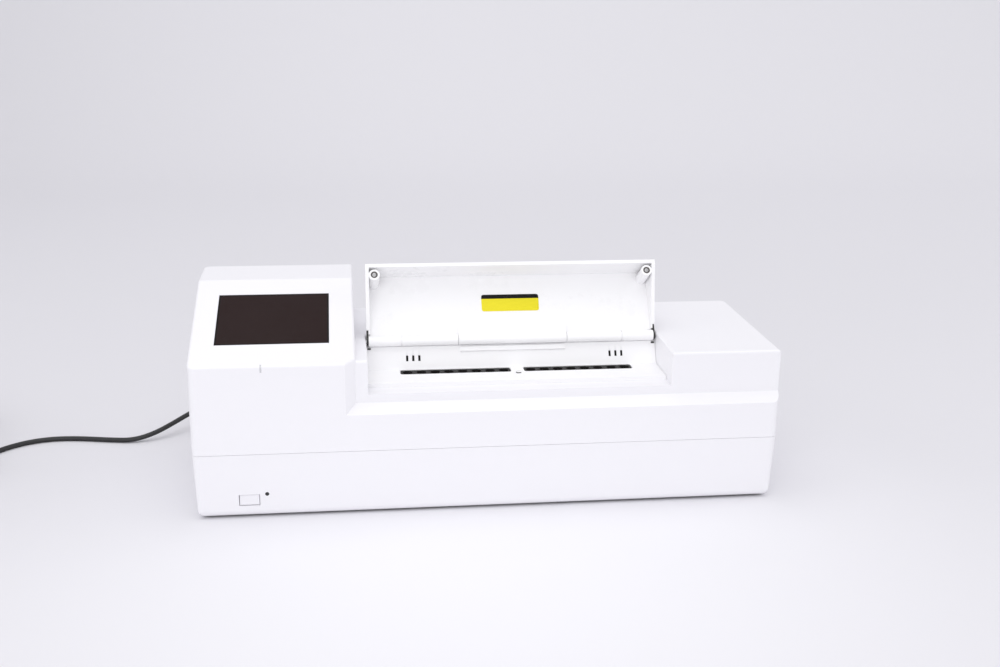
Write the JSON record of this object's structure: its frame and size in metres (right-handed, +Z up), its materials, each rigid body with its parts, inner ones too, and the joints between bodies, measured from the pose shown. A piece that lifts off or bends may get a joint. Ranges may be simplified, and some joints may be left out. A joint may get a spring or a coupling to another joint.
{
  "type": "molecular diagnostic analyzer",
  "caption": "Long bench-top tube analyzer with a tilted touch screen, a hinged lid over two rows of heated wells, scanning optics inside and a thin power lead.",
  "frame": {"origin": "on the table under the middle of the housing, measured without the power lead", "axes": "+X to the right as seen by the user, +Y to the back, +Z up"},
  "size_m": [0.6061, 0.2128, 0.1488],
  "materials": {
    "shell_white": "satin",
    "lid_white": "satin",
    "deck_white": "matte",
    "steel": "satin",
    "rubber_black": "matte",
    "screen_glass": "gloss",
    "foam_black": "matte",
    "sheet_metal": "satin",
    "circuit_green": "satin",
    "ribbon_white": "satin",
    "lamp_clear": "gloss",
    "lens_dark": "gloss",
    "block_aluminium": "machined",
    "heater_amber": "gloss",
    "foam_grey": "matte",
    "carrier_grey": "matte",
    "carrier_black": "matte",
    "belt_rubber": "matte",
    "motor_metal": "satin",
    "wire_rubber": "satin",
    "contact_metal": "polished",
    "lead_black": "satin",
    "supply_black": "matte",
    "label_yellow": "satin",
    "magnet_metal": "polished",
    "arm_black": "matte"
  },
  "bodies": {
    "housing": {"base_tray": "shell_white", "upper_cover": "shell_white", "cover_screws": "steel", "rubber_feet": "rubber_black", "well_deck": "deck_white", "deck_screw": "steel", "catch_plates": "steel", "hinge_pins": "steel", "touch_panel": "screen_glass", "display_gasket": "foam_black", "display_module": "sheet_metal", "display_board": "circuit_green", "display_straps": "sheet_metal", "display_screws": "steel", "display_ribbon": "ribbon_white", "status_light_bar": "lamp_clear", "button_board": "circuit_green", "lamp_lens": "lens_dark", "heater_block_left": "block_aluminium", "heater_block_right": "block_aluminium", "heater_mats": "heater_amber", "block_sensors": "circuit_green", "insulation_pads": "foam_grey", "block_carrier": "carrier_grey", "carrier_legs": "carrier_grey", "rail_beam": "sheet_metal", "rail_legs": "sheet_metal", "optics_rail": "steel", "drive_belt": "belt_rubber", "idler_bracket": "sheet_metal", "stepper_motor": "motor_metal", "motor_bracket": "sheet_metal", "home_sensor": "carrier_black", "main_board": "circuit_green", "board_parts": "carrier_black", "board_standoffs": "steel", "power_socket": "carrier_black", "wire_harness": "wire_rubber", "fan_frame": "carrier_black", "fan_screws": "steel", "plug_barrel": "contact_metal", "plug_grip": "lead_black", "power_cord": "lead_black", "power_cord_coil": "lead_black", "supply_body": "supply_black", "supply_relief": "lead_black", "supply_blades": "contact_metal"},
    "lid": {"lid_shell": "lid_white", "lid_hinge_cover": "lid_white", "lid_label": "label_yellow", "lid_magnets": "magnet_metal", "hinge_arms": "arm_black"},
    "button": {"power_button": "shell_white"},
    "carriage": {"optics_carriage": "carrier_black", "optics_lens": "lens_dark", "optics_board": "circuit_green"},
    "motor_wheel": {"drive_pulley": "block_aluminium"},
    "idler_wheel": {"idler_pulley": "block_aluminium"},
    "fan_wheel": {"fan_rotor": "carrier_black"}
  },
  "joints": [
    {"name": "lid_hinge", "type": "hinge", "parent": "housing", "child": "lid", "pos_m": [0.0189, -0.01155, 0.0988], "axis": [1, 0, 0], "range_deg": [0, 123]},
    {"name": "power_press", "type": "slide", "parent": "housing", "child": "button", "axis": [0, 1, 0], "range_m": [0, 0.0008], "stiffness_N_per_m": 1500},
    {"name": "optics_scan", "type": "slide", "parent": "housing", "child": "carriage", "axis": [1, 0, 0], "range_m": [0, 0.156]},
    {"name": "motor_wheel_turn", "type": "hinge", "parent": "housing", "child": "motor_wheel", "pos_m": [0.1209, 0.01375, 0.0595], "axis": [0, 1, 0], "range_deg": [0, 1335]},
    {"name": "idler_wheel_turn", "type": "hinge", "parent": "housing", "child": "idler_wheel", "pos_m": [-0.0919, 0.01375, 0.0595], "axis": [0, 1, 0], "range_deg": [0, 1335]},
    {"name": "fan_spin", "type": "hinge", "parent": "housing", "child": "fan_wheel", "pos_m": [0.145, 0.055, 0.07], "axis": [0, 1, 0], "continuous": true}
  ],
  "couplings": [
    {"joint": "motor_wheel_turn", "follows": "optics_scan", "rad_per_m": 149.25},
    {"joint": "idler_wheel_turn", "follows": "optics_scan", "rad_per_m": 149.25}
  ]
}
